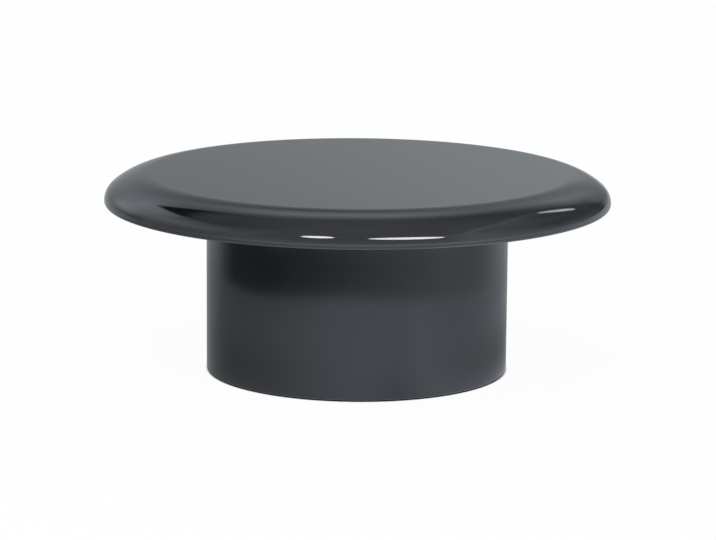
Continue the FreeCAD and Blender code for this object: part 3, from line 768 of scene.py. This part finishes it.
def spline_slot(turn):
    """A box that cuts the slot for a spline, at a turn round the table."""
    middle = RIM_RADIUS - SPLINE_INSET
    low = Vector((middle - SPLINE_REACH, -SPLINE_HALF, SPLINE_LOW - SLOT_GAP))
    high = Vector((middle + SPLINE_REACH, SPLINE_HALF, SPLINE_HIGH + SLOT_GAP))
    form = bmesh.new()
    bmesh.ops.create_cube(form, size=1.0)
    bmesh.ops.scale(form, vec=high - low, verts=form.verts)
    bmesh.ops.translate(form, vec=(low + high) / 2, verts=form.verts)
    bmesh.ops.rotate(form, matrix=Matrix.Rotation(turn, 3, "Z"), verts=form.verts)
    return finish_mesh("slot", form, top_lacquer)


section = [(RIM_INNER, TOP_SEAM), (BLOCK_RING, TOP_SEAM)]
section += arc_points(SHOULDER, TOP_SEAM_TURN, SHOULDER_TURN, SHOULDER_END_STEPS)[:-1]
section += arc_points(NOSE, SHOULDER_TURN, LOWER_SEAM_TURN, NOSE_STEPS)
section += [(BLOCK_RING, LOWER_SEAM), (RIM_INNER, LOWER_SEAM)]
for block in range(RIM_BLOCKS):
    start, end = block * BLOCK_TURN, (block + 1) * BLOCK_TURN
    form = bmesh.new()
    sweep(form, section, narrow_ends(start, end, BLOCK_END, BLOCK_STEPS), part_turn=True)
    piece = finish_mesh(f"rim_block_{block + 1}", form, top_lacquer)
    for turn in (start, end):
        cut_away(piece, spline_slot(turn))
    settle(piece, "table", "charcoal_lacquer", f"rim_segment_{block + 1}")

# %% [markdown]
# ### Under panel
#
# The panel below carries the end of the nose and the small lower radius. It is bored for six threaded
# inserts and two dowels, which the drum's top plate hides.

# %% Turn and bore the under panel
INSIDE_RINGS, UNDER_RINGS = (0.2, 0.45), (0.42, 0.2)
NOSE_END_STEPS, LOWER_STEPS = 16, 24
BOLT_CIRCLE, BOLTS = 0.2408, 6
DOWEL_CIRCLE, DOWELS, DOWEL_BORE = 0.1808, 2, 0.0141
BORE_RADIUS, BORE_SIDES, OVERRUN = 0.0061, 40, 0.01


def on_circle(radius, count, first=0.0):
    """Even places on a circle round the middle of the table."""
    return [around((0, 0), radius, first + turn) for turn in full_turn(count)]


def bores(spots, top):
    """Upright round cutters from below the under panel to a given height."""
    low = UNDERSIDE - OVERRUN
    form = bmesh.new()
    for x, y in spots:
        made = bmesh.ops.create_cone(form, cap_ends=True, segments=BORE_SIDES, radius1=BORE_RADIUS,
                                     radius2=BORE_RADIUS, depth=top - low)
        bmesh.ops.translate(form, vec=(x, y, (low + top) / 2), verts=made["verts"])
    return finish_mesh("bores", form, top_lacquer)


outline = [(radius, LOWER_SEAM) for radius in (0, *INSIDE_RINGS)]
outline += arc_points(NOSE, LOWER_SEAM_TURN, pi / 2, NOSE_END_STEPS)[:-1]
outline += arc_points(LOWER, pi / 2, pi, LOWER_STEPS)
outline += [(radius, UNDERSIDE) for radius in (LOWER[0] - SEAM_ROW, *UNDER_RINGS, 0)]
under = turned("lower_panel", outline, top_lacquer)
cut_away(under, bores(on_circle(BOLT_CIRCLE, BOLTS), LOWER_SEAM + OVERRUN))
cut_away(under, bores(on_circle(DOWEL_CIRCLE, DOWELS), UNDERSIDE + DOWEL_BORE))
settle(under, "table", "charcoal_lacquer", "under_panel")

# %% [markdown]
# ## Drum
#
# The drum's skin is thin plywood bent round the wall and lacquered like the top. Its lower edge is eased by
# two millimetres and stops short of the floor; the paper in that gap carries painted shade, which makes the
# thin dark line under the drum.

# %% Turn the drum skin
EASED_FOOT, EASED_HEAD = 0.002, 0.0003
SKIN_ROWS, FOOT_STEPS = 8, 10


def fillet(centre, reach, start, end, steps):
    """A round for a lathe outline, between two angles in degrees."""
    turns = [radians(start + (end - start) * i / steps) for i in range(steps + 1)]
    return [around(centre, reach, turn) for turn in turns]


inner = DRUM_RADIUS - DRUM_SKIN
row = (DRUM_HEAD - DRUM_FOOT) / SKIN_ROWS
outline = [(inner, DRUM_HEAD), (DRUM_RADIUS - EASED_HEAD, DRUM_HEAD), (DRUM_RADIUS, DRUM_HEAD - EASED_HEAD)]
outline += [(DRUM_RADIUS, DRUM_FOOT + row * i) for i in range(SKIN_ROWS - 1, 0, -1)]
outline += fillet((DRUM_RADIUS - EASED_FOOT, DRUM_FOOT + EASED_FOOT), EASED_FOOT, 0, -90, FOOT_STEPS)
outline += [(inner, DRUM_FOOT)]
settle(turned("drum_cladding", outline, drum_lacquer), "table", "charcoal_lacquer", "drum_skin")

# %% [markdown]
# ## Timber inside
#
# What is under the lacquer is ordinary joinery: birch plywood rings and plates, a bent plywood wall,
# softwood posts, fibreboard ribs, beech dowels and splines. Most of their solids are right as they are and
# only get finishes. Three effects recur, and each is a group. The first is the figure of the grain: growth
# rings that sway along the board, darker towards the end of each year, and fine fibres.

# %% Group: figure of the grain
GRAIN_DRAWN, FIBRES_DRAWN = (1.0, 1.0, 0.08), (2600.0, 2600.0, 60.0)
SWAY, SWAY_SHARE, SLANT = 22.0, 9.0, 0.35
LATE_WOOD, YEAR_END = (0.45, 0.95), (0.96, 1.0)

grain, given = open_group("wood_figure", {"Place": "Vector", "Ring Width": "Float", "Wander": "Float"},
                          ["Figure", "Fibre"])
drawn = mapped(given["Place"], Scale=GRAIN_DRAWN)
axes = split(drawn)
across = plus(axes["X"], times(axes["Y"], SLANT))
across = math_node("DIVIDE", across, given["Ring Width"])
sway = times(noise(drawn, SWAY, 2.0), times(given["Wander"], SWAY_SHARE))
ring = math_node("FRACT", plus(across, sway))
figure = times(ease(ring, *LATE_WOOD), fade(ring, *YEAR_END))
fibre = noise(mapped(given["Place"], Scale=FIBRES_DRAWN), 1.0, 2.0)
close_group(grain, {"Figure": figure, "Fibre": fibre})

# %% [markdown]
# The second is what plywood shows at its edges: layers that run by turns along and across, with a dark line
# of glue between them. It needs only the depth into the sheet.

# %% Group: layers at a plywood edge
CROSS_LAYER, GLUE_LINE = (0.48, 0.52), (0.43, 0.48)

layers, given = open_group("plywood_layers", {"Depth": "Float", "Layer": "Float"}, ["Cross Layer", "Glue"])
count = math_node("DIVIDE", given["Depth"], given["Layer"])
pair = math_node("FRACT", times(count, 0.5))
from_middle = minus(math_node("FRACT", count), 0.5)
glue = ease(math_node("ABSOLUTE", from_middle), *GLUE_LINE)
close_group(layers, {"Cross Layer": ease(pair, *CROSS_LAYER), "Glue": glue})

# %% [markdown]
# The third is the dust and rubbing that unfinished wood and plain metal pick up in a workshop: fine grains
# that lie in patches, and places where hands and tools have polished the surface.

# %% Group: dust and rubbing
GRAINS, PATCHES = 900.0, 24.0
GRAINS_SHOW, PATCHES_SHOW, RUBBED = (0.5, 0.75), (0.35, 0.7), (0.3, 0.75)

workshop, given = open_group("dust_and_rubbing", {"Place": "Vector", "Amount": "Float"}, ["Dust", "Rubbed"])
fine = ease(noise(given["Place"], GRAINS, 2.0), *GRAINS_SHOW)
broad = noise(given["Place"], PATCHES, 3.0)
lying = times(fine, ease(broad, *PATCHES_SHOW))
close_group(workshop, {"Dust": times(lying, given["Amount"]), "Rubbed": ease(broad, *RUBBED)})

# %% [markdown]
# Plywood has two looks on one piece, and the direction of the surface tells them apart. Flat sheets have
# their faces up and down and their layers at the rim; the bent wall is the other way round, with its layers
# counted outwards from the middle.

# %% Finish: birch plywood
SAWDUST = (0.62, 0.56, 0.48)
FIBRE_DEPTH = 0.0004
FLAT_FACE = (0.4, 0.7)
QUARTER_TURN = pi / 2


def shaded(slot, share):
    return tinted(share, SLOT_COLOUR[slot])


def facing_up(place):
    """A mask of the surfaces that face up or down."""
    normal = place.node.outputs["Normal"]
    return ease(math_node("ABSOLUTE", split(normal)["Z"]), *FLAT_FACE)


def rubbed_gloss(marks, matt, rubbed):
    return ease(marks["Rubbed"], 0.0, 1.0, matt, rubbed)


def bare_timber(shader, colour, marks, roughness, height, strength):
    """What all bare timber shares: dust in its colour and fibres that stand up."""
    dusty = blend(marks["Dust"], colour, SAWDUST)
    wire(shader, dusty, roughness, relief(height, strength, FIBRE_DEPTH))


def plywood(name, layer, bent):
    material, shader, place = new_finish(name)
    axes = split(place)
    flat = facing_up(place)
    if bent:
        outwards = put_after("ShaderNodeCombineXYZ", {"X": axes["X"], "Y": axes["Y"]})[0]
        depth, at_edge, along = length_of(outwards), flat, place
    else:
        depth, at_edge = axes["Z"], fade(flat, 0.0, 1.0)
        along = mapped(place, Rotation=(0.0, QUARTER_TURN, 0.0))
    figure = use_group(grain, {"Place": along, "Ring Width": 0.011, "Wander": 1.6})
    stack = use_group(layers, {"Depth": depth, "Layer": layer})
    marks = use_group(workshop, {"Place": place, "Amount": 0.35})
    pale, brown, long_layer, cross_layer, glue = (shaded("birch_plywood", share)
                                                  for share in (1.15, 0.86, 1.05, 0.62, 0.30))
    face = blend(figure["Figure"], pale, brown)
    edge = blend(stack["Cross Layer"], long_layer, cross_layer)
    edge = blend(stack["Glue"], edge, glue)
    wood = blend(at_edge, face, edge)
    height = plus(figure["Fibre"], times(stack["Glue"], at_edge))
    bare_timber(shader, wood, marks, rubbed_gloss(marks, matt=0.62, rubbed=0.48), height, strength=0.3)
    return material


def dress(material, *names):
    """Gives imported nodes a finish."""
    for name in names:
        for place in nodes[name].material_slots:
            place.material = material
    print(f"{material.name}: {len(names)} nodes")


dress(plywood("birch_sheet", 0.0017, bent=False), "drum_top_plate", "drum_mid_ring", "drum_bottom_ring")
dress(plywood("birch_bent", 0.0015, bent=True), "drum_wall")

# %% [markdown]
# Solid timber needs only the grain group with its own values: wide rings and strong late wood for softwood,
# narrow calm rings and small dark flecks for beech. Posts stand along the grain; splines lie flat, so their
# places are turned first.

# %% Finishes: softwood and beech
FLECKS_DRAWN, FLECK_EDGE = (900.0, 900.0, 220.0), (0.12, 0.22)
PALE_SHARE, FLECK_SHARE = 1.1, 0.45
# slot, ring width, wander, shade of the late wood and strength of the flecks
SOFTWOOD = ("planed_softwood", 0.0042, 0.9, 0.62, 0.0)
BEECH = ("beech", 0.0028, 0.6, 0.88, 0.7)


def solid_timber(name, kind, turn):
    slot, ring_width, wander, late_share, flecks = kind
    material, shader, place = new_finish(name)
    along = mapped(place, Rotation=turn)
    figure = use_group(grain, {"Place": along, "Ring Width": ring_width, "Wander": wander})
    marks = use_group(workshop, {"Place": place, "Amount": 0.3})
    wood = blend(figure["Figure"], shaded(slot, PALE_SHARE), shaded(slot, late_share))
    dashes = mapped(along, Scale=FLECKS_DRAWN)
    dash = put_after("ShaderNodeTexVoronoi", {"Vector": dashes, "Scale": 1.0})["Distance"]
    fleck = times(fade(dash, *FLECK_EDGE), flecks)
    wood = blend(fleck, wood, shaded(slot, FLECK_SHARE))
    gloss = rubbed_gloss(marks, matt=0.60, rubbed=0.45)
    bare_timber(shader, wood, marks, gloss, figure["Fibre"], strength=0.25)
    return material


dress(solid_timber("planed_softwood", SOFTWOOD, (0, 0, 0.4)), *(f"post_{i}" for i in range(1, 5)))
dress(solid_timber("beech_flat", BEECH, (QUARTER_TURN, 0, 0)), "rim_splines")
beech_upright = solid_timber("beech_upright", BEECH, (0, 0, 0))

# %% [markdown]
# The ribs and the fixing ring are fibreboard: no grain, only felted fibres, a little darker and harder at
# the pressed faces than at the sawn edges.

# %% Finish: core board
FELT, PRESSED_SHARE = 1400.0, 0.35

core, shader, place = new_finish("core_board")
pressed = facing_up(place)
felt = noise(place, FELT, 4.0)
marks = use_group(workshop, {"Place": place, "Amount": 0.5})
board = blend(felt, shaded("core_board", 0.72), shaded("core_board", 1.25))
board = blend(times(pressed, PRESSED_SHARE), board, shaded("core_board", 0.6))
bare_timber(shader, board, marks, ease(pressed, 0.0, 1.0, 0.85, 0.62), felt, strength=0.4)
dress(core, "fixing_ring", "cross_rib_lower", "cross_rib_upper", *(f"core_rib_{i}" for i in range(1, 9)))

# %% [markdown]
# ## Metal and moulded parts
#
# Bolts, screws and glides are bright zinc plate over steel. Plating is never quite even: its gloss changes
# in patches, and the dust group dulls it. The pads are black nylon, with the fine matt grain of a mould.

# %% Finishes: zinc plate and nylon
PLATE_PATCHES, PLATE_BRUSHED, MOULD_GRAIN = 260.0, 2400.0, 1800.0
DULL_DUST, DULL_SHARE, DARK_DUST = (0.33, 0.32, 0.30), 0.4, (0.14, 0.13, 0.12)

zinc, shader, place = new_finish("zinc_steel", Metallic=1.0)
marks = use_group(workshop, {"Place": place, "Amount": 0.6})
patch = noise(place, PLATE_PATCHES, 3.0)
plate = blend(patch, shaded("zinc_steel", 0.86), shaded("zinc_steel", 1.18))
plate = blend(marks["Dust"], plate, DULL_DUST)
rough = plus(ease(patch, 0.3, 0.7, 0.24, 0.38), times(marks["Dust"], DULL_SHARE))
wire(shader, plate, rough, relief(noise(place, PLATE_BRUSHED, 1.0), strength=0.15, depth=0.0001))
dress(zinc, "bolt_washers", "threaded_inserts", "tee_nuts")

nylon, shader, place = new_finish("black_nylon")
marks = use_group(workshop, {"Place": place, "Amount": 0.7})
black = blend(marks["Dust"], SLOT_COLOUR["black_nylon"], DARK_DUST)
mould = relief(noise(place, MOULD_GRAIN, 2.0), strength=0.35, depth=0.0002)
wire(shader, black, rubbed_gloss(marks, matt=0.52, rubbed=0.36), mould)
print("finishes:", zinc.name, nylon.name)

# %% [markdown]
# ## Threads, hexagons and flutes
#
# A screw thread, a hexagon and a fluted dowel have one thing in common: going round them, the radius
# changes. So their outlines hold rules, which give the sweep a radius at each angle and height. The rule of
# a thread moves on by one pitch for each full turn.

# %% Rules for threads and hexagons
CREST_SHARE, FLANK_SHARE = 0.15, 0.6
ROWS_PER_PITCH = 5
SIXTH_TURN = pi / 3


def thread(major, minor, pitch):
    """The radius of a screw thread at an angle and height."""
    def radius(angle, height):
        phase = (height / pitch - angle / (2 * pi)) % 1.0
        flank = (abs(2 * phase - 1) - CREST_SHARE) / FLANK_SHARE
        return minor + (major - minor) * min(max(flank, 0.0), 1.0)
    return radius


def hexagon(across_flats, corner_limit):
    """The radius of a hexagon at an angle, with its corners turned down to a limit."""
    def radius(angle, height):
        from_flat = angle % SIXTH_TURN - SIXTH_TURN / 2
        return min(across_flats / 2 / cos(from_flat), corner_limit)
    return radius


def threaded_rows(low, high, major, minor, pitch):
    rule = thread(major, minor, pitch)
    steps = int(round((high - low) / pitch * ROWS_PER_PITCH))
    return [(rule, low + (high - low) * i / steps) for i in range(steps + 1)]


print("rules ready")

# %% [markdown]
# ### Glides
#
# Four glides level the table. Each is a threaded stem with a hexagon collar to turn it by, whose round foot
# is snapped into a nylon pad. The stem turns and sinks; the pad sinks with it but doesn't turn, so they
# ride on different bodies.

# %% Make the glides
GLIDE_CIRCLE, GLIDES = 0.2653, 4
PAD_STEPS, STEM_STEPS, ROUND_STEPS = 64, 48, 5
PAD_FOOT = heights("leveller_pad_1")[0]
PAD_RADIUS, PAD_TALL, PAD_ROUND = 0.0160, 0.0050, 0.0012
MOUTH_RADIUS, MOUTH_ROUND = 0.0051, 0.0005
SOCKET_RADIUS, SOCKET_FLOOR, SOCKET_ROOF, SOCKET_EASE = 0.0081, 0.0016, 0.0036, 0.0001
DISC_RADIUS, DISC_LOW, DISC_HIGH, DISC_EASE = 0.0080, 0.0020, 0.0037, 0.0003
NECK_RADIUS, SHANK_FOOT = 0.0050, 0.0045
COLLAR_LOW, COLLAR_HIGH, COLLAR_BEVEL, COLLAR_FLATS = 0.0054, 0.0089, 0.0006, 0.015
COLLAR_FACE, COLLAR_BODY = hexagon(COLLAR_FLATS, 0.0076), hexagon(COLLAR_FLATS, 0.0086)
THREAD_LOW, THREAD_HIGH, THREAD_RADIUS, THREAD_CORE, PITCH = 0.0094, 0.0505, 0.0050, 0.00415, 0.0015
STEM_TIP, TIP_RADIUS = 0.0520, 0.0038

pad_side, mouth_side = PAD_RADIUS - PAD_ROUND, MOUTH_RADIUS + MOUTH_ROUND
PAD = [(0, 0), *fillet((pad_side, PAD_ROUND), PAD_ROUND, -90, 0, ROUND_STEPS)]
PAD += fillet((pad_side, PAD_TALL - PAD_ROUND), PAD_ROUND, 0, 90, ROUND_STEPS)
PAD += fillet((mouth_side, PAD_TALL - MOUTH_ROUND), MOUTH_ROUND, 90, 180, ROUND_STEPS)
PAD += [(MOUTH_RADIUS, SOCKET_ROOF), (SOCKET_RADIUS - SOCKET_EASE, SOCKET_ROOF - SOCKET_EASE),
        (SOCKET_RADIUS, SOCKET_ROOF - 2 * SOCKET_EASE), (SOCKET_RADIUS, SOCKET_FLOOR), (0, SOCKET_FLOOR)]
PAD = [(radius, PAD_FOOT + height) for radius, height in PAD]
STEM = [(DISC_RADIUS - 2 * DISC_EASE, DISC_LOW), (DISC_RADIUS, DISC_LOW + DISC_EASE),
        (DISC_RADIUS, DISC_HIGH - DISC_EASE), (DISC_RADIUS - DISC_EASE, DISC_HIGH),
        (NECK_RADIUS, DISC_HIGH), (NECK_RADIUS, COLLAR_LOW), (COLLAR_FACE, COLLAR_LOW),
        (COLLAR_BODY, COLLAR_LOW + COLLAR_BEVEL), (COLLAR_BODY, COLLAR_HIGH - COLLAR_BEVEL),
        (COLLAR_FACE, COLLAR_HIGH), (SHANK_FOOT, COLLAR_HIGH)]
STEM += threaded_rows(THREAD_LOW, THREAD_HIGH, THREAD_RADIUS, THREAD_CORE, PITCH)
STEM += [(TIP_RADIUS, STEM_TIP)]

for i, spot in enumerate(on_circle(GLIDE_CIRCLE, GLIDES), start=1):
    pad = turned(f"glide_pad_{i}", PAD, nylon, PAD_STEPS, [spot])
    settle(pad, f"foot_{i}", "black_nylon", f"leveller_pad_{i}")
    stem = turned(f"glide_stem_{i}", STEM, zinc, STEM_STEPS, [spot], capped=True)
    settle(stem, f"stem_{i}", "zinc_steel", f"leveller_stem_{i}")

# %% [markdown]
# ### Bolts, screws and dowels
#
# Six hexagon bolts pull the drum's plate up against the inserts in the top. Their heads have turned-down
# corners below, and a short plain shank comes before the thread.

# %% Make the bolts
BOLT_LOW, BOLT_HIGH = heights("top_bolts")
BOLT_STEPS = 36
HEAD_TALL, HEAD_BEVEL, HEAD_FLATS = 0.0053, 0.0007, 0.013
HEAD_FACE, HEAD_BODY = hexagon(HEAD_FLATS, 0.0061), hexagon(HEAD_FLATS, 0.0075)
BOLT_RADIUS, BOLT_CORE, BOLT_PITCH, BOLT_TIP = 0.0040, 0.0033, 0.00125, 0.0030
PLAIN_SHANK, RUN_OUT = 0.006, 0.001

seat = BOLT_LOW + HEAD_TALL
plain_end = seat + PLAIN_SHANK
rows = [(HEAD_FACE, BOLT_LOW), (HEAD_BODY, BOLT_LOW + HEAD_BEVEL), (HEAD_BODY, seat)]
rows += [(BOLT_RADIUS, seat), (BOLT_RADIUS, plain_end)]
rows += threaded_rows(plain_end + RUN_OUT, BOLT_HIGH - RUN_OUT, BOLT_RADIUS, BOLT_CORE, BOLT_PITCH)
rows += [(BOLT_TIP, BOLT_HIGH)]
bolts = turned("hex_bolts", rows, zinc, BOLT_STEPS, on_circle(BOLT_CIRCLE, BOLTS), capped=True)
settle(bolts, "table", "zinc_steel", "top_bolts")

# %% [markdown]
# Countersunk screws with a cross recess hold the posts, four from below and four from above. The recess is
# cut with a tapered plus, as a driver leaves it.

# %% Make the screws
SCREW_CIRCLE, SCREWS, SCREW_STEPS = 0.2788, 4, 24
CONE_RADIUS, CONE_DEPTH, CONE_EASE = 0.0050, 0.0025, 0.0003
SCREW_RADIUS, SCREW_CORE, SCREW_PITCH = 0.0025, 0.0017, 0.0022
PLAIN_END, BITE_START = 0.012, 0.0125
BITE_END, POINT_START, POINT_RADIUS, POINT_TIP = 0.006, 0.005, 0.0015, 0.0002
PLUS_ARM, PLUS_HALF = 0.0029, 0.00065
# share of the plus, and depth below the face of the head, where the cutter starts and ends
PLUS_ENDS = ((1.1, -0.0005), (0.45, 0.0019))


def plus_cutter(face, into, spots):
    """Tapered crosses that cut the driver's recess, from a head's face into the screw."""
    corner = [(PLUS_HALF, PLUS_HALF), (PLUS_HALF, PLUS_ARM), (-PLUS_HALF, PLUS_ARM)]
    outline = []
    for quarter in range(4):
        outline += corner
        corner = [(-v, u) for u, v in corner]
    form = bmesh.new()
    for x, y in spots:
        ends = [[form.verts.new((x + share * u, y + share * v, face + into * depth)) for u, v in outline]
                for share, depth in PLUS_ENDS]
        join_rings(form, ends)
        for end in ends:
            form.faces.new(end)
    return finish_mesh("plus", form, zinc)


def screws(name, node, head_low):
    low, high = heights(node)
    face, into, tip = (low, 1, high) if head_low else (high, -1, low)
    head = ((CONE_RADIUS - CONE_EASE, 0.0), (CONE_RADIUS, CONE_EASE), (SCREW_RADIUS, CONE_DEPTH),
            (SCREW_RADIUS, PLAIN_END))
    rows = [(radius, face + into * depth) for radius, depth in head]
    start, end = sorted((face + into * BITE_START, tip - into * BITE_END))
    rows += threaded_rows(start, end, SCREW_RADIUS, SCREW_CORE, SCREW_PITCH)[::into]
    rows += [(POINT_RADIUS, tip - into * POINT_START), (POINT_TIP, tip)]
    spots = on_circle(SCREW_CIRCLE, SCREWS, pi / SCREWS)
    piece = turned(name, rows, zinc, SCREW_STEPS, spots, capped=True)
    cut_away(piece, plus_cutter(face, into, spots))
    settle(piece, "table", "zinc_steel", node)


screws("foot_screws", "lower_screws", head_low=True)
screws("head_screws", "upper_screws", head_low=False)

# %% [markdown]
# Two fluted dowels place the drum while the bolts go in. The flutes let air and glue out of the hole, and
# the ends are chamfered so that they find it.

# %% Make the dowels
DOWEL_LOW, DOWEL_HIGH = heights("locating_dowels")
DOWEL_RADIUS, CHAMFER, DOWEL_STEPS = 0.0060, 0.0012, 96
FLUTES, FLUTE_DEPTH = 16, 0.00035


def fluted(angle, height):
    return DOWEL_RADIUS - FLUTE_DEPTH * (0.5 - 0.5 * cos(FLUTES * angle)) ** 3


rows = [(DOWEL_RADIUS - CHAMFER, DOWEL_LOW), (fluted, DOWEL_LOW + CHAMFER),
        (fluted, DOWEL_HIGH - CHAMFER), (DOWEL_RADIUS - CHAMFER, DOWEL_HIGH)]
spots = on_circle(DOWEL_CIRCLE, DOWELS)
dowels = turned("fluted_dowels", rows, beech_upright, DOWEL_STEPS, spots, capped=True)
settle(dowels, "table", "beech", "locating_dowels")
